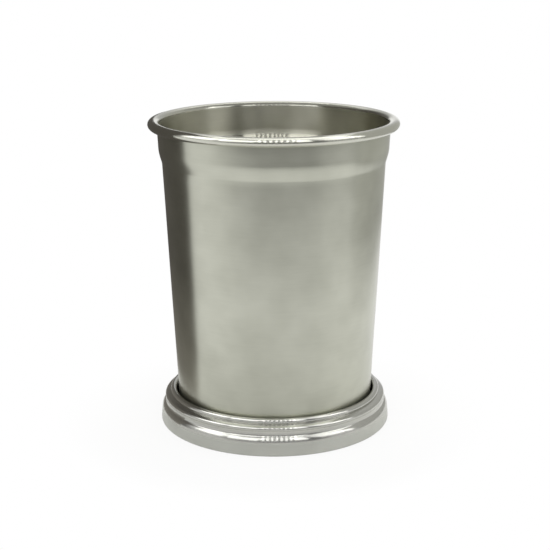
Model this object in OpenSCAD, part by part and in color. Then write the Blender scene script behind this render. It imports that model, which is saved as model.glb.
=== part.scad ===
// Julep cup: a drawn steel beaker with a rolled rim and a low shoulder,
// brazed into a moulded sheet foot ring.
// The cup stands on the plane z = 0, with its axis on Z.

/* [Cup] */
// Height from the table to the top of the rolled rim
cup_height = 111; // [95:0.5:130]
// Diameter over the outside of the rolled rim
rim_diameter = 88.9; // [80:0.1:100]
// Outside diameter of the cup wall at its flat bottom
base_diameter = 70.2; // [62:0.1:76]
// Thickness of the drawn cup sheet
wall_thickness = 0.7; // [0.5:0.05:1]
// Inside radius of the corner between the floor and the wall
corner_radius = 2.5; // [1.5:0.1:5]

/* [Rolled rim] */
// Width of the hollow bead, from the inside of the wall outwards
bead_width = 3.95; // [3.5:0.05:4.8]
// Height of the hollow bead
bead_height = 3.3; // [3:0.05:4]
// Gap between the end of the curl and the wall under it
curl_gap = 0.1; // [0.05:0.01:0.2]

/* [Collar and shoulder] */
// Height of the collar, from the middle of the bead down
collar_height = 7.9; // [5:0.05:14]
// How much the collar's radius narrows on its way down
collar_draft = 0.3; // [0:0.05:0.8]
// Height over which the wall steps in below the collar
shoulder_height = 5.9; // [2.5:0.1:8]
// How far the wall steps in below the collar
shoulder_step = 1.2; // [0.4:0.05:1.6]

/* [Foot ring] */
// Thickness of the foot ring sheet
ring_thickness = 0.6; // [0.4:0.05:0.7]
// Height of the plain skirt at the bottom of the ring
skirt_height = 4.6; // [4.2:0.1:9]
// How far the skirt flares out on its way down
skirt_flare = 0.35; // [0:0.05:1]
// Radius of the half-round bead above the skirt
base_bead_radius = 1.15; // [0.9:0.05:1.6]
// Height from the base bead's centre up to the centre of the nose
step_rise = 4.25; // [3.2:0.05:4.4]
// Distance from the base bead's centre in to the centre of the nose
step_inset = 1.1; // [0.9:0.05:1.8]
// Radius of the nose on the sloping step
step_nose_radius = 0.95; // [0.8:0.05:1.2]
// Height from the nose's centre up to the centre of the lip bead
lip_rise = 1.95; // [1.8:0.05:2.4]
// Distance from the nose's centre in to the centre of the lip bead
lip_inset = 2.2; // [2.2:0.05:3]
// Radius of the half-round bead round the lip
lip_bead_radius = 1.15; // [0.9:0.05:1.5]
// Clearance between the lip bead and the cup wall
lip_gap = 0.7; // [0.2:0.05:0.8]
// Height of the plain neck that hangs down inside the lip bead
neck_height = 1.2; // [0.6:0.1:1.8]

/* [Underside] */
// Radius of the turned bottom edge of the ring
hem_radius = 0.8; // [0.75:0.05:1.2]
// Width of the flat that the cup stands on
rest_width = 1.5; // [1:0.1:2]
// Height of the seat flange's underside above the table
seat_height = 3; // [2.4:0.1:4]
// Radius of the bend between the ring's inner wall and its seat flange
seat_bend_radius = 0.8; // [0.5:0.1:1.2]
// How far the seat flange reaches under the flat of the cup
seat_lap = 3.2; // [2:0.1:6]
// Thickness of the braze between the seat flange and the cup
braze_thickness = 0.15; // [0.1:0.01:0.3]
// How far the braze stays back from the edges of the lap
braze_inset = 0.5; // [0.2:0.1:0.8]

/* [Quality] */
// Straight steps that draw a quarter turn of a large curve
curve_steps = 8; // [6:1:12]
// Segments around the axis
ring_segments = 180; // [90:2:240]

/* [Hidden] */

quarter_turn = 90;
half_turn = 180;

// Angles above or below level at which the foot ring's round members meet their neighbours
base_bead_tuck = 20;
base_bead_top = 84;
step_nose_tuck = 34;
step_nose_top = 72;
lip_bead_tuck = 32;
// Hollow of the cove, as a share of its own span
cove_depth_share = 0.22;
// Power that bends the shoulder's curve low: 1 leaves it even
shoulder_ease_power = 0.75;

// Heights of the centres of the foot ring's round members
base_bead_z = skirt_height + base_bead_radius * sin(base_bead_tuck);
step_nose_z = base_bead_z + step_rise;
lip_bead_z = step_nose_z + lip_rise;

// Heights up the cup
seat_top = seat_height + ring_thickness;
cup_underside = seat_top + braze_thickness;
floor_top = cup_underside + wall_thickness;
bead_z = cup_height - bead_height / 2;
collar_bottom = bead_z - collar_height;
shoulder_bottom = collar_bottom - shoulder_height;

// Radii of the cup's inner face, which rolls over to become the outside of the bead
collar_top_r = rim_diameter / 2 - bead_width;
collar_bottom_r = collar_top_r - collar_draft;
body_top_r = collar_bottom_r - shoulder_step;
body_base_r = base_diameter / 2 - wall_thickness;
taper = atan2(body_top_r - body_base_r, shoulder_bottom - floor_top);
bead_r = collar_top_r + bead_width / 2;
curl_end = acos((collar_top_r + wall_thickness + curl_gap - bead_r) / (bead_width / 2));

// Corner between the floor and the tapered wall
corner_z = floor_top + corner_radius;
corner_run = corner_radius * (1 - sin(taper)) / cos(taper);
corner_r = body_base_r + corner_run * sin(taper) - corner_radius * cos(taper);

// Radii of the foot ring's outer face, from the cup's wall outwards
lip_bead_r = outer_radius(lip_bead_z) + lip_gap + lip_bead_radius;
step_nose_r = lip_bead_r + lip_inset;
base_bead_r = step_nose_r + step_inset;
skirt_top_r = base_bead_r + base_bead_radius * cos(base_bead_tuck);
foot_r = skirt_top_r + skirt_flare;
rest_outer_r = foot_r - hem_radius;
rest_inner_r = rest_outer_r - rest_width;
inner_wall_r = rest_inner_r - hem_radius;
seat_inner_r = corner_r - seat_lap;

// Outer radius of the cup's tapered wall at height z
function outer_radius(z) = body_base_r + wall_thickness + (z - floor_top) * tan(taper);

// Points along part of an oval, from angle start to angle end
function oval(centre, half_width, half_height, start, end) =
    let (steps = max(2, round(curve_steps * abs(end - start) / quarter_turn)))
    [for (i = [0 : steps])
        let (a = start + (end - start) * i / steps)
        centre + [half_width * cos(a), half_height * sin(a)]];

// Points along part of a circle
function arc(centre, radius, start, end) = oval(centre, radius, radius, start, end);

// Points of a curve that leaves one point and reaches another without a kink
function ease(from, to, power) =
    [for (i = [1 : curve_steps - 1])
        let (s = i / curve_steps, across = pow(s, power))
        [from[0] + (to[0] - from[0]) * across * across * (3 - 2 * across),
         from[1] + (to[1] - from[1]) * s]];

// Points of a shallow hollow between two points, deepest at the middle
function hollow(from, to, depth_share) =
    let (span = to - from)
    [for (i = [1 : curve_steps / 2])
        let (s = i / (curve_steps / 2 + 1))
        from + span * s + [span[1], -span[0]] * depth_share * 4 * s * (1 - s)];

// Right-hand normal of a path's straight piece number i
function right_of(path, i) =
    let (step = path[i + 1] - path[i])
    [step[1], -step[0]] / norm(step);

// The same path, moved to its right by a distance, with mitred corners
function beside(path, distance) =
    let (last = len(path) - 1)
    [for (i = [0 : last])
        let (before = right_of(path, max(i - 1, 0)), after = right_of(path, min(i, last - 1)))
        path[i] + distance * (before + after) / (1 + before * after)];

// Section of a sheet whose one face runs along the path and whose metal lies to its right
module sheet_section(path, thickness) {
    other = beside(path, thickness);
    polygon(concat(path, [for (i = [len(other) - 1 : -1 : 0]) other[i]]));
}

// Inner face of the cup: floor, corner, tapered wall, shoulder, collar and the outward curl
cup_face = concat(
    [[0, floor_top]],
    arc([corner_r, corner_z], corner_radius, -quarter_turn, -taper),
    [[body_top_r, shoulder_bottom]],
    ease([body_top_r, shoulder_bottom], [collar_bottom_r, collar_bottom], shoulder_ease_power),
    [[collar_bottom_r, collar_bottom]],
    oval([bead_r, bead_z], bead_width / 2, bead_height / 2, half_turn, -curl_end));

// Outer face of the foot ring: neck, lip bead, sloping step, cove, base bead, skirt,
// turned edge, standing flat, inner wall and seat flange
lip_path = concat(
    [[lip_bead_r - lip_bead_radius, lip_bead_z - neck_height]],
    arc([lip_bead_r, lip_bead_z], lip_bead_radius, half_turn, -lip_bead_tuck));
step_path = arc([step_nose_r, step_nose_z], step_nose_radius, step_nose_top, -step_nose_tuck);
base_path = arc([base_bead_r, base_bead_z], base_bead_radius, base_bead_top, -base_bead_tuck);
skirt_path = concat(
    arc([rest_outer_r, hem_radius], hem_radius, 0, -quarter_turn),
    arc([rest_inner_r, hem_radius], hem_radius, -quarter_turn, -half_turn));
seat_path = concat(
    arc([inner_wall_r - seat_bend_radius, seat_height - seat_bend_radius], seat_bend_radius,
        0, quarter_turn),
    [[seat_inner_r, seat_height]]);
ring_face = concat(
    lip_path,
    step_path,
    hollow(step_path[len(step_path) - 1], base_path[0], cove_depth_share),
    base_path,
    skirt_path,
    seat_path);

module cup_body() {
    color([0.72, 0.73, 0.68])
        rotate_extrude($fn = ring_segments)
            sheet_section(cup_face, wall_thickness);
}

module foot_ring() {
    color([0.78, 0.78, 0.75])
        rotate_extrude($fn = ring_segments)
            sheet_section(ring_face, ring_thickness);
}

module braze_ring() {
    color([0.62, 0.60, 0.54])
        translate([0, 0, seat_top])
            difference() {
                cylinder(r = corner_r - braze_inset, h = braze_thickness, $fn = ring_segments);
                translate([0, 0, -braze_thickness])
                    cylinder(r = seat_inner_r + braze_inset, h = braze_thickness * 3, $fn = ring_segments);
            }
}

cup_body();
foot_ring();
braze_ring();
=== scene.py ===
import math

import bpy
from mathutils import Matrix, Quaternion, Vector, noise


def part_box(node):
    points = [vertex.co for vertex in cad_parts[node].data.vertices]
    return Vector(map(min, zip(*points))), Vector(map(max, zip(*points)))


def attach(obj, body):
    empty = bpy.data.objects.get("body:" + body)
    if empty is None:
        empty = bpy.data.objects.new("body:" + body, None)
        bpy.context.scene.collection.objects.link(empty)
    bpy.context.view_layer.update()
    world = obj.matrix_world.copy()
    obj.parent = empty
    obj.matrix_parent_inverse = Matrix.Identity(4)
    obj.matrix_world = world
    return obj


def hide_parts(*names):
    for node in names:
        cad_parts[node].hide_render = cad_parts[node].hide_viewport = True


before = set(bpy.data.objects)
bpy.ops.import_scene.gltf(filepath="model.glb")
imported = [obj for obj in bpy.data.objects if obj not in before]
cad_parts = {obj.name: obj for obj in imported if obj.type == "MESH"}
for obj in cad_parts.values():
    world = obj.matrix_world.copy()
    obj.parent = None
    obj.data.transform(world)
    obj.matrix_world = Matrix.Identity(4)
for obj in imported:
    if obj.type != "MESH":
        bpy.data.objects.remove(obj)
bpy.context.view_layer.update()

# A drawn steel julep cup: a satin beaker with a rolled rim and a low shoulder,
# brazed into a moulded foot ring. Sections are in millimetres, the scene is in metres.

MM = 0.001


# Sizes, in millimetres

# Overall sizes come from the frame
cup_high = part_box("cup_body")[1]
foot_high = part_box("foot_ring")[1]
cup_height = cup_high.z / MM
rim_radius = cup_high.x / MM
foot_radius = foot_high.x / MM

# Cup
wall_thickness = 0.7
base_radius = 35.1
corner_radius = 2.5
bead_width = 3.95
bead_height = 3.3
curl_gap = 0.1
collar_height = 7.9
collar_draft = 0.3
shoulder_height = 5.9
shoulder_step = 1.2
# Power that bends the shoulder's curve low: 1 leaves it even
shoulder_ease_power = 0.75
# Share of the shoulder's height, from its foot up, that rolls burnished inside
rolled_share = 0.62

# Foot ring
ring_thickness = 0.6
skirt_height = 4.6
skirt_flare = 0.35
base_bead_radius = 1.15
step_rise = 4.25
step_inset = 1.1
step_nose_radius = 0.95
lip_rise = 1.95
lip_inset = 2.2
lip_bead_radius = 1.15
neck_height = 1.2
hem_radius = 0.8
rest_width = 1.5
seat_height = 3
seat_bend_radius = 0.8
seat_lap = 3.2
braze_thickness = 0.15

# Quarter-round over the skirt. It stays within half a millimetre of the part's bead and cove.
base_round_radius = 2.7
base_round_top = 58
# Hollow between the nose and the quarter-round, as a share of its own span
cove_depth_share = 0.08

# Angles at which the foot ring's round members meet their neighbours, in degrees
base_bead_tuck = 20
step_nose_tuck = 34
step_nose_top = 72
lip_bead_tuck = 32

# Slow unevenness that drawing and polishing leave in the thin wall
wave_depth = 0.12
waves_around = 2.2
wave_height = 34
wave_starts = 14
wave_full = 30
shoulder_wander = 0.35
wander_starts = 70
wander_pace = 1.3
wander_offset = Vector((7, 3, 0))

# Mesh
segments = 288
quarter_turn_steps = 14
ease_steps = 14
hollow_steps = 8
longest_band = 2.0
smallest_radius = 1e-6
crease_angle = math.radians(38)


# Sections: lists of (radius, height) points

def oval(centre, half_width, half_height, start, end):
    """Points along part of an oval, from angle start to angle end in degrees."""
    steps = max(2, round(quarter_turn_steps * abs(end - start) / 90))
    angles = [math.radians(start + (end - start) * i / steps) for i in range(steps + 1)]
    return [(centre[0] + half_width * math.cos(a), centre[1] + half_height * math.sin(a)) for a in angles]


def arc(centre, radius, start, end):
    return oval(centre, radius, radius, start, end)


def ease(low, high, power):
    """A curve that leaves one point and reaches another without a kink. A power under 1 bends it low."""
    points = []
    for i in range(ease_steps + 1):
        s = i / ease_steps
        across = s ** power
        across = across * across * (3 - 2 * across)
        points.append((low[0] + (high[0] - low[0]) * across, low[1] + (high[1] - low[1]) * s))
    return points


def hollow(start, end, depth_share):
    """Inner points of a shallow hollow between two points, deepest at the middle."""
    across = end[0] - start[0]
    up = end[1] - start[1]
    points = []
    for i in range(1, hollow_steps):
        s = i / hollow_steps
        depth = depth_share * 4 * s * (1 - s)
        points.append((start[0] + across * s + up * depth, start[1] + up * s - across * depth))
    return points


def divided(path, longest):
    """The same path, with its long straight pieces cut into short ones."""
    points = [path[0]]
    for start, end in zip(path, path[1:]):
        pieces = max(1, math.ceil(math.dist(start, end) / longest))
        for i in range(1, pieces + 1):
            s = i / pieces
            points.append((start[0] + (end[0] - start[0]) * s, start[1] + (end[1] - start[1]) * s))
    return points


def beside(path, distance):
    """The same path, moved to its right by the sheet's thickness, with mitred corners."""
    rights = []
    for start, end in zip(path, path[1:]):
        length = math.dist(start, end)
        rights.append(Vector(((end[1] - start[1]) / length, (start[0] - end[0]) / length)))
    points = []
    for i, point in enumerate(path):
        before = rights[max(i - 1, 0)]
        after = rights[min(i, len(rights) - 1)]
        points.append(tuple(Vector(point) + distance * (before + after) / (1 + before.dot(after))))
    return points


# Heights up the cup
seat_top = seat_height + ring_thickness
floor_top = seat_top + braze_thickness + wall_thickness
bead_z = cup_height - bead_height / 2
collar_bottom = bead_z - collar_height
shoulder_bottom = collar_bottom - shoulder_height
rolled_top = shoulder_bottom + rolled_share * shoulder_height

# Radii of the cup's inner face
collar_top_r = rim_radius - bead_width
collar_bottom_r = collar_top_r - collar_draft
body_top_r = collar_bottom_r - shoulder_step
body_base_r = base_radius - wall_thickness
taper = math.atan2(body_top_r - body_base_r, shoulder_bottom - floor_top)
bead_r = collar_top_r + bead_width / 2
curl_end = math.degrees(math.acos((collar_top_r + wall_thickness + curl_gap - bead_r) / (bead_width / 2)))
corner_run = corner_radius * (1 - math.sin(taper)) / math.cos(taper)
corner_r = body_base_r + corner_run * math.sin(taper) - corner_radius * math.cos(taper)

# Heights and radii of the foot ring's round members, from the skirt upwards and inwards
base_bead_z = skirt_height + base_bead_radius * math.sin(math.radians(base_bead_tuck))
step_nose_z = base_bead_z + step_rise
lip_bead_z = step_nose_z + lip_rise
skirt_top_r = foot_radius - skirt_flare
base_bead_r = skirt_top_r - base_bead_radius * math.cos(math.radians(base_bead_tuck))
step_nose_r = base_bead_r - step_inset
lip_bead_r = step_nose_r - lip_inset
rest_outer_r = foot_radius - hem_radius
rest_inner_r = rest_outer_r - rest_width
inner_wall_r = rest_inner_r - hem_radius
seat_inner_r = corner_r - seat_lap

# Finishes of a turned piece's bands, as places in its list of materials
INSIDE, ROLLED, RIM, OUTSIDE = range(4)
BUFFED, SATIN, UNDERSIDE = range(3)


def cup_outline():
    """Closed section of the cup as (point, finish) pairs: up the inner face, over the rim, down the outer."""
    wall = [(0, floor_top)]
    wall += arc((corner_r, floor_top + corner_radius), corner_radius, -90, -math.degrees(taper))
    wall += ease((body_top_r, shoulder_bottom), (collar_bottom_r, collar_bottom), shoulder_ease_power)
    wall.append((collar_top_r, bead_z))
    wall = divided(wall, longest_band)
    curl = oval((bead_r, bead_z), bead_width / 2, bead_height / 2, 180, -curl_end)[1:]
    back = beside(wall + curl, wall_thickness)
    outline = [(point, ROLLED if shoulder_bottom < point[1] <= rolled_top else INSIDE) for point in wall]
    outline += [(point, RIM) for point in curl]
    finishes = [OUTSIDE] * len(wall) + [RIM] * len(curl)
    outline += list(zip(back, finishes))[::-1]
    return outline


def ring_outline():
    """Closed section of the foot ring as (point, finish) pairs, from the neck outwards and down."""
    lip = [(lip_bead_r - lip_bead_radius, lip_bead_z - neck_height)]
    lip += arc((lip_bead_r, lip_bead_z), lip_bead_radius, 180, -lip_bead_tuck)
    nose = arc((step_nose_r, step_nose_z), step_nose_radius, step_nose_top, -step_nose_tuck)
    base = arc((skirt_top_r - base_round_radius, skirt_height), base_round_radius, base_round_top, 0)
    cove = hollow(nose[-1], base[0], cove_depth_share)
    hem = arc((rest_outer_r, hem_radius), hem_radius, 0, -90)
    inner_hem = arc((rest_inner_r, hem_radius), hem_radius, -90, -180)
    seat = arc((inner_wall_r - seat_bend_radius, seat_height - seat_bend_radius), seat_bend_radius, 0, 90)
    seat.append((seat_inner_r, seat_height))
    mouldings = divided(lip + nose + cove + base, longest_band)
    skirt = divided([base[-1]] + hem, longest_band)[1:]
    below = divided([hem[-1]] + inner_hem + seat, longest_band)[1:]
    face = mouldings + skirt + below
    finishes = [BUFFED] * len(mouldings) + [SATIN] * len(skirt) + [UNDERSIDE] * len(below)
    outline = list(zip(face, finishes))
    outline += [(point, UNDERSIDE) for point in reversed(beside(face, ring_thickness))]
    return outline


# Shapes

def lathe(name, outline, materials, hand=None):
    """Turns a closed outline round the axis. hand(angle, radius, height) moves a point, in millimetres."""
    mesh = bpy.data.meshes.new(name)
    points = []
    rings = []
    for (radius, height), finish in outline:
        if radius < smallest_radius:
            rings.append([len(points)] * segments)
            points.append((0, 0, height * MM))
            continue
        rings.append(range(len(points), len(points) + segments))
        for i in range(segments):
            angle = math.tau * i / segments
            r, z = hand(angle, radius, height) if hand else (radius, height)
            points.append((r * MM * math.cos(angle), r * MM * math.sin(angle), z * MM))
    faces = []
    face_finishes = []
    for i, ring in enumerate(rings):
        after = rings[(i + 1) % len(rings)]
        if ring[0] == ring[1] and after[0] == after[1]:
            continue
        for j in range(segments):
            k = (j + 1) % segments
            corners = dict.fromkeys((ring[j], after[j], after[k], ring[k]))
            faces.append(tuple(corners))
            face_finishes.append(outline[(i + 1) % len(rings)][1])
    mesh.from_pydata(points, [], faces)
    for material in materials:
        mesh.materials.append(material)
    mesh.polygons.foreach_set("material_index", face_finishes)
    mesh.shade_smooth()
    mesh.set_sharp_from_angle(angle=crease_angle)
    mesh.validate()
    piece = bpy.data.objects.new(name, mesh)
    bpy.context.scene.collection.objects.link(piece)
    return piece


def smooth(low, high, value):
    """0 below low, 1 above high and a soft rise between."""
    s = min(1, max(0, (value - low) / (high - low)))
    return s * s * (3 - 2 * s)


def hand_finished(angle, radius, height):
    """Draws the wall in a little, never out, and lets the shoulder wander up and down."""
    around = Vector((math.cos(angle), math.sin(angle), 0)) * waves_around
    below_rim = 1 - smooth(collar_bottom, bead_z - bead_height, height)
    waved = smooth(wave_starts, wave_full, height) * below_rim
    wave = 0.5 + 0.5 * noise.noise(around + Vector((0, 0, height / wave_height)))
    near_shoulder = smooth(wander_starts, shoulder_bottom, height) * below_rim
    wander = noise.noise(around * wander_pace + wander_offset)
    return radius - wave_depth * waved * wave, height + shoulder_wander * near_shoulder * wander


# Materials

def linear(hex_colour):
    """An sRGB hex colour as a linear colour with alpha."""
    values = [int(hex_colour[i:i + 2], 16) / 255 for i in (1, 3, 5)]
    return [v / 12.92 if v <= 0.04045 else ((v + 0.055) / 1.055) ** 2.4 for v in values] + [1]


def add(tree, kind, inputs=None, **settings):
    """Adds a node with its settings. An input is a value, or an output that is linked to it.

    Inputs go by name, or by number on the nodes that use a name for several of them.
    """
    node = tree.nodes.new("ShaderNode" + kind)
    for key, value in settings.items():
        setattr(node, key, value)
    for socket, value in (inputs or {}).items():
        if isinstance(value, bpy.types.NodeSocket):
            tree.links.new(value, node.inputs[socket])
        else:
            node.inputs[socket].default_value = value
    return node


def math_node(tree, operation, first, second):
    return add(tree, "Math", {0: first, 1: second}, operation=operation).outputs[0]


def ramp(tree, value, low, high, start=0, end=1, easing="LINEAR"):
    """start while the value is low, end once it is high, and a slope between."""
    inputs = {"Value": value, "From Min": low, "From Max": high, "To Min": start, "To Max": end}
    return add(tree, "MapRange", inputs, interpolation_type=easing).outputs[0]


def mixed(tree, share, first, second):
    """The mix of two colours, each a hex colour or an output."""
    first = linear(first) if isinstance(first, str) else first
    second = linear(second) if isinstance(second, str) else second
    return add(tree, "Mix", {0: share, 6: first, 7: second}, data_type="RGBA").outputs[2]


def blank_tree(data):
    data.use_nodes = True
    data.node_tree.nodes.clear()
    return data.node_tree


def turned_place(tree, line_spacing):
    """Coordinates that run in lines round the axis, a few long streaks to each."""
    streaks_around = 4
    place = add(tree, "TexCoord").outputs["Object"]
    flat = add(tree, "VectorMath", {0: place, 1: (1, 1, 0)}, operation="MULTIPLY").outputs[0]
    around = add(tree, "VectorMath", {0: flat}, operation="NORMALIZE").outputs[0]
    radius = add(tree, "VectorMath", {0: flat}, operation="LENGTH").outputs["Value"]
    height = add(tree, "SeparateXYZ", {0: place}).outputs["Z"]
    along = math_node(tree, "ADD", radius, height)
    lines = math_node(tree, "MULTIPLY", along, 1 / (line_spacing * MM))
    spread = add(tree, "VectorMath", {0: around, "Scale": streaks_around}, operation="SCALE").outputs[0]
    upward = add(tree, "CombineXYZ", {"Z": lines}).outputs[0]
    return add(tree, "VectorMath", {0: spread, 1: upward}, operation="ADD").outputs[0]


def worked_steel(name, colours, roughness, blur_spread, line_spacing, line_depth, cloud_size, anisotropy):
    """Stainless sheet that was worked with abrasive round the axis, so that it blurs up and down.

    colours are the darkest and lightest hex of the metal, blur_spread is how much roughness varies,
    line_spacing and line_depth are the scratches' and cloud_size is the size of slow patches, in mm.
    """
    line_share = 0.18
    darkest_tone = 0.2
    lightest_tone = 0.8
    material = bpy.data.materials.new(name)
    tree = blank_tree(material)
    lines = add(tree, "TexNoise", {
        "Vector": turned_place(tree, line_spacing), "Scale": 1, "Detail": 3, "Roughness": 0.6,
    }).outputs["Fac"]
    place = add(tree, "TexCoord").outputs["Object"]
    clouds = add(tree, "TexNoise", {
        "Vector": place, "Scale": 1 / (cloud_size * MM), "Detail": 2, "Roughness": 0.45,
    }).outputs["Fac"]
    tone = add(tree, "Mix", {0: line_share, 2: clouds, 3: lines}, data_type="FLOAT").outputs[0]
    shade = ramp(tree, tone, darkest_tone, lightest_tone)
    least = roughness - blur_spread
    most = roughness + blur_spread
    inputs = {
        "Base Color": mixed(tree, shade, *colours),
        "Metallic": 1,
        "Roughness": ramp(tree, tone, darkest_tone, lightest_tone, least, most),
        "Normal": add(tree, "Bump", {"Distance": line_depth * MM, "Height": lines}).outputs[0],
    }
    if anisotropy:
        inputs["Anisotropic"] = anisotropy
        # A quarter turn sets the blur across the lines
        inputs["Anisotropic Rotation"] = 0.25
        inputs["Tangent"] = add(tree, "Tangent", direction_type="RADIAL", axis="Z").outputs[0]
    shader = add(tree, "BsdfPrincipled", inputs)
    add(tree, "OutputMaterial", {"Surface": shader.outputs[0]})
    return material


# 18/8 stainless, brushed with fine abrasive while the cup turned: soft bright bands stand up and down
satin_wall = worked_steel(
    "satin_brushed_stainless", ("#B4B5A8", "#CECFC2"), roughness=0.3, blur_spread=0.03,
    line_spacing=0.7, line_depth=0.001, cloud_size=13, anisotropy=0.65)

# The same sheet inside, left as the spinning tool burnished it: greyer, with coarser rings
spun_inside = worked_steel(
    "spun_stainless", ("#B6B5A7", "#D6D5C7"), roughness=0.31, blur_spread=0.02,
    line_spacing=0.9, line_depth=0.0006, cloud_size=11, anisotropy=0.88)

# Rolls formed the shoulder and burnished it inside: it still blurs up and down, but hardly sideways
rolled_shoulder = worked_steel(
    "roll_burnished_stainless", ("#BAB9AB", "#C6C5B7"), roughness=0.17, blur_spread=0.01,
    line_spacing=0.6, line_depth=0.0004, cloud_size=14, anisotropy=1.0)

# The rolled rim, wiped on a soft wheel: brighter than the wall, but not a mirror
wiped_rim = worked_steel(
    "wheel_wiped_stainless", ("#C6C6BB", "#D0D0C5"), roughness=0.17, blur_spread=0.01,
    line_spacing=0.5, line_depth=0.0005, cloud_size=12, anisotropy=1.0)

# The foot's round mouldings, buffed: narrow bright lines
buffed_beads = worked_steel(
    "buffed_stainless", ("#BEBEB8", "#CCCCC6"), roughness=0.165, blur_spread=0.01,
    line_spacing=0.5, line_depth=0.0005, cloud_size=12, anisotropy=1.0)

# The foot's skirt, satin again, and paler than the wall
satin_skirt = worked_steel(
    "fine_satin_stainless", ("#BCBDB7", "#CCCDC7"), roughness=0.33, blur_spread=0.03,
    line_spacing=0.6, line_depth=0.0015, cloud_size=14, anisotropy=0.5)

# Under the foot the sheet keeps its mill finish, dull and even
mill_underside = worked_steel(
    "mill_finish_stainless", ("#BDBDB6", "#C9C9C2"), roughness=0.42, blur_spread=0.03,
    line_spacing=1.0, line_depth=0.002, cloud_size=10, anisotropy=0.0)

# Silver-bearing brazing alloy: slightly yellow, frozen in small ripples
brazed_seam = worked_steel(
    "silver_braze", ("#BDB49A", "#CDC5AC"), roughness=0.4, blur_spread=0.08,
    line_spacing=0.4, line_depth=0.006, cloud_size=3, anisotropy=0.0)


# Pieces

cup = lathe("satin_cup", cup_outline(), [spun_inside, rolled_shoulder, wiped_rim, satin_wall], hand_finished)
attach(cup, "root")
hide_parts("cup_body")

foot = lathe("moulded_foot", ring_outline(), [buffed_beads, satin_skirt, mill_underside])
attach(foot, "root")
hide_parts("foot_ring")

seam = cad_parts["braze_ring"]
seam.data.materials.clear()
seam.data.materials.append(brazed_seam)


# Camera: at the photograph's height and angle, looking down a little

camera_place = Vector((0, -0.4739, 0.18276))
camera_turn = math.radians(-0.029)
camera_pitch = math.radians(15.251)
camera_roll = math.radians(-0.207)

camera_data = bpy.data.cameras.new("camera")
camera_data.sensor_width = 36
camera_data.lens = 88.45
camera = bpy.data.objects.new("camera", camera_data)
camera.location = camera_place
camera.rotation_mode = "QUATERNION"
camera.rotation_quaternion = (
    Quaternion((0, 0, 1), camera_turn)
    @ Quaternion((1, 0, 0), math.pi / 2 - camera_pitch)
    @ Quaternion((0, 0, 1), camera_roll)
)
bpy.context.scene.collection.objects.link(camera)
bpy.context.scene.camera = camera


# Studio

lamp_distance = 0.65


def overhead(azimuth, elevation):
    """Where a lamp stands, as the cup sees it: turned right from the camera, and raised, in degrees."""
    out = lamp_distance * math.cos(math.radians(elevation))
    turn = math.radians(azimuth)
    height = lamp_distance * math.sin(math.radians(elevation))
    return (out * math.sin(turn), -out * math.cos(turn), height)


def glint(turn, tilt):
    """Where a lamp stands that a face shows to the camera when it is turned right and tilted up."""
    across = math.cos(math.radians(tilt))
    facing = Vector((
        across * math.sin(math.radians(turn)),
        -across * math.cos(math.radians(turn)),
        math.sin(math.radians(tilt)),
    ))
    return -lamp_distance * camera_place.normalized().reflect(facing)


def softbox(name, place, target, width, height, strength):
    """A rectangular lamp that shines from one place towards another."""
    light = bpy.data.lights.new(name, "AREA")
    light.shape = "RECTANGLE"
    light.size = width
    light.size_y = height
    light.energy = strength * width * height * math.pi
    lamp = bpy.data.objects.new(name, light)
    lamp.location = place
    lamp.rotation_mode = "QUATERNION"
    lamp.rotation_quaternion = (Vector(target) - Vector(place)).to_track_quat("-Z", "Y")
    bpy.context.scene.collection.objects.link(lamp)
    return lamp


def lamp_row(name, count, turns, tilts, width, strength, target):
    """A row of narrow lamps over the camera, which the buffed beads show as a row of dots."""
    for i in range(count):
        turn = turns[0] + (turns[1] - turns[0]) * i / (count - 1)
        near = glint(turn, tilts[0])
        far = glint(turn, tilts[1])
        place = (near + far) / 2
        back = (place - Vector(target)).normalized()
        along = (far - near) - (far - near).project(back)
        lamp = softbox(f"{name}_{i}", place, target, width, along.length, strength)
        along.normalize()
        lamp.rotation_quaternion = Matrix((along.cross(back), along, back)).transposed().to_quaternion()


def patch(tree, direction, centre, inner, outer):
    """1 within an angle of inner degrees round a direction, fading to 0 at outer degrees."""
    towards = Vector(centre).normalized()
    near = add(tree, "VectorMath", {0: direction, 1: towards}, operation="DOT_PRODUCT").outputs["Value"]
    edge = math.cos(math.radians(outer))
    core = math.cos(math.radians(inner))
    return ramp(tree, near, edge, core, easing="SMOOTHSTEP")


def seen_in_metal(tree, path):
    """1 for the rays that a metal or a glass sends on."""
    return math_node(tree, "MAXIMUM", path["Is Glossy Ray"], path["Is Transmission Ray"])


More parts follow.
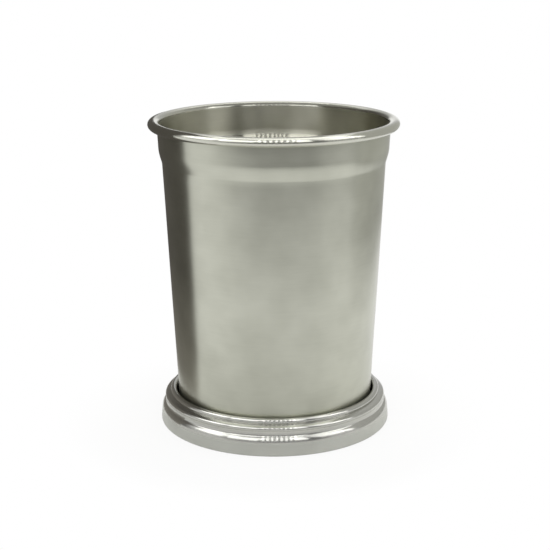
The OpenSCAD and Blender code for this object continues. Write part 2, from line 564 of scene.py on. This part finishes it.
def studio_world():
    """White to the camera. The cup reflects a white backdrop, a dim room in front and a bright ceiling."""
    # Upward part of the direction at which walls turn into ceiling
    ceiling_starts = 0.3
    ceiling_full = 0.75
    room_strength = 1.15
    world = bpy.data.worlds.new("studio")
    bpy.context.scene.world = world
    tree = blank_tree(world)
    direction = add(tree, "TexCoord").outputs["Generated"]
    height = add(tree, "SeparateXYZ", {0: direction}).outputs["Z"]
    upward = ramp(tree, height, ceiling_starts, ceiling_full, easing="SMOOTHSTEP")
    room = mixed(tree, upward, "#BFBFBF", "#FFFFFF")
    # Shaded parts of the room: direction, inner and outer angle in degrees, colour
    shaded = [
        ((0, -0.75, 0.66), 36, 60, "#8C8C8C"),
        ((0.1, -1, 0.05), 22, 55, "#8A8A8A"),
        ((0.6, -0.8, 0.42), 8, 24, "#747474"),
        ((-1, 0.9, 0), 28, 46, "#62605E"),
        ((1, 0.9, 0), 25, 50, "#B4B4B4"),
    ]
    for centre, inner, outer, colour in shaded:
        room = mixed(tree, patch(tree, direction, centre, inner, outer), room, colour)
    lit = add(tree, "Background", {"Color": room, "Strength": room_strength}).outputs[0]
    white = add(tree, "Background", {"Color": linear("#FFFFFF"), "Strength": 1}).outputs[0]
    path = add(tree, "LightPath").outputs
    backdrop = patch(tree, direction, (0, 1, -0.1), 10, 22)
    behind = math_node(tree, "MULTIPLY", seen_in_metal(tree, path), backdrop)
    seen = math_node(tree, "MAXIMUM", path["Is Camera Ray"], behind)
    shader = add(tree, "MixShader", {0: seen, 1: lit, 2: white}).outputs[0]
    add(tree, "OutputWorld", {"Surface": shader})


def stage_plane(name, corners, material):
    """A flat piece of the studio with four corners."""
    mesh = bpy.data.meshes.new(name)
    mesh.from_pydata(corners, [], [(0, 1, 2, 3)])
    mesh.materials.append(material)
    plane = bpy.data.objects.new(name, mesh)
    bpy.context.scene.collection.objects.link(plane)
    return plane


def painted_floor_shade(tree, place, distance):
    """Painted shade on the paper, 0 to 1: far off in front and at the right, where light falls off, and a
    painted shadow close before the foot.
    """
    # Distances from the cup's axis, in metres
    far_starts = 0.24
    far_full = 0.37
    ring_starts = 0.05
    ring_full = 0.068
    ring_fades = 0.078
    ring_ends = 0.12
    # Shares of the painted shade at its darkest
    right_share = 0.8
    ring_share = 0.45
    share_at_foot = 0.35
    facing = add(tree, "VectorMath", {0: place}, operation="NORMALIZE").outputs[0]
    front = patch(tree, facing, (0.12, -1, 0), 12, 88)
    right = math_node(tree, "MULTIPLY", patch(tree, facing, (1, 0.1, 0), 45, 85), right_share)
    sides = math_node(tree, "MAXIMUM", front, right)
    far = ramp(tree, distance, far_starts, far_full, easing="SMOOTHSTEP")
    inner_edge = ramp(tree, distance, ring_starts, ring_full, start=share_at_foot)
    outer_edge = ramp(tree, distance, ring_ends, ring_fades, end=ring_share)
    ring = math_node(tree, "MULTIPLY", outer_edge, inner_edge)
    ahead = patch(tree, facing, (-0.1, -1, 0), 25, 98)
    near_shade = math_node(tree, "MULTIPLY", ring, ahead)
    far_shade = math_node(tree, "MULTIPLY", far, sides)
    return math_node(tree, "MAXIMUM", near_shade, far_shade)


def paper_floor():
    """Pale matt paper: white beyond the cup's soft shadow, and darkened with painted shade where the metal
    needs it.
    """
    # Distances from the cup's axis between which the paper turns white, in metres
    white_to_camera = (0.042, 0.08)
    white_to_metal = (0.05, 0.105)
    material = bpy.data.materials.new("matt_paper")
    tree = blank_tree(material)
    place = add(tree, "TexCoord").outputs["Object"]
    distance = add(tree, "VectorMath", {0: place}, operation="LENGTH").outputs["Value"]
    shade = painted_floor_shade(tree, place, distance)
    # The paper's colour carries the painted shade, down to a near black
    colour = mixed(tree, shade, "#E6E6E2", "#2C2C2A")
    paper = add(tree, "BsdfDiffuse", {"Color": colour, "Roughness": 0.5}).outputs[0]
    # Share of white that the camera sees, and that the metal sees
    away = ramp(tree, distance, *white_to_camera, start=0.88)
    clear = ramp(tree, distance, *white_to_metal, start=0.35)
    bright = math_node(tree, "MULTIPLY", clear, math_node(tree, "SUBTRACT", 1, shade))
    path = add(tree, "LightPath").outputs
    direct = math_node(tree, "MULTIPLY", path["Is Camera Ray"], away)
    reflected = math_node(tree, "MULTIPLY", seen_in_metal(tree, path), bright)
    share = math_node(tree, "MAXIMUM", direct, reflected)
    white = add(tree, "Emission", {"Color": linear("#FFFFFF"), "Strength": 1}).outputs[0]
    above = add(tree, "MixShader", {0: share, 1: paper, 2: white}).outputs[0]
    below = add(tree, "BsdfTransparent").outputs[0]
    underneath = add(tree, "NewGeometry").outputs["Backfacing"]
    shader = add(tree, "MixShader", {0: underneath, 1: above, 2: below}).outputs[0]
    add(tree, "OutputMaterial", {"Surface": shader})
    reach = 4
    corners = [(-reach, -reach, 0), (reach, -reach, 0), (reach, reach, 0), (-reach, reach, 0)]
    stage_plane("floor", corners, material)


def card(name, corners, low_colour, high_colour, casts_shadow=False):
    """A card that only the metal's reflections see. It glows with its own colour, a painted brightness that
    stands in for how it is lit, and its colour changes over its lowest stretch.
    """
    change_height = 0.05
    material = bpy.data.materials.new(name)
    tree = blank_tree(material)
    up = add(tree, "SeparateXYZ", {0: add(tree, "TexCoord").outputs["Object"]}).outputs["Z"]
    colour = mixed(tree, ramp(tree, up, 0, change_height), low_colour, high_colour)
    shade = add(tree, "Emission", {"Color": colour, "Strength": 1}).outputs[0]
    add(tree, "OutputMaterial", {"Surface": shade})
    plane = stage_plane(name, corners, material)
    plane.visible_camera = False
    plane.visible_diffuse = False
    plane.visible_shadow = casts_shadow


def upright(left, right, height, lean=0):
    """Corners of an upright card on the feet left and right. lean moves its top left corner forward."""
    return [(*left, 0), (*right, 0), (*right, height), (left[0], left[1] - lean, height)]


def level(left, right, front, back, height):
    """Corners of a card that lies level over the cup."""
    return [(left, front, height), (right, front, height), (right, back, height), (left, back, height)]


studio_world()
paper_floor()

aim = (0, 0, cup_height / 2 * MM)
softbox("top_softbox", (0.1, 0.15, 0.9), aim, width=0.9, height=0.6, strength=0.8)

# Soft lamps round the front: azimuth, elevation, width, height, strength
lamps = {
    "left_softbox": (-34, 44, 0.32, 0.4, 1.9),
    "far_left_softbox": (-74, 44, 0.36, 0.36, 1.6),
    "right_softbox": (29, 44, 0.12, 0.4, 1.9),
    "far_right_softbox": (63, 44, 0.29, 0.36, 1.25),
    "side_softbox": (98, 37, 0.4, 0.34, 2.0),
}
for lamp_name, (azimuth, elevation, width, height, strength) in lamps.items():
    softbox(lamp_name, overhead(azimuth, elevation), aim, width, height, strength)
lamp_row("lamp_row", count=8, turns=(-5.7, 9.9), tilts=(24, 46), width=0.011, strength=3.4, target=aim)

# Glowing cards with painted brightness: a dark one close by at the left, a pale one further off at the right
# and one over the mouth
left_corners = upright((-0.061, -0.0165), (-0.05, 0.12), height=0.19, lean=0.0135)
right_corners = upright((0.24, -0.03), (0.14, 0.3), height=0.4)
top_corners = level(left=-0.026, right=0.026, front=-0.018, back=0.055, height=0.15)
card("left_card", left_corners, "#8E8A84", "#5A5753")
card("right_card", right_corners, "#A0A09C", "#BEBEBA")
card("top_card", top_corners, "#9C9C98", "#9C9C98", casts_shadow=True)

bpy.context.scene.view_settings.view_transform = "Standard"
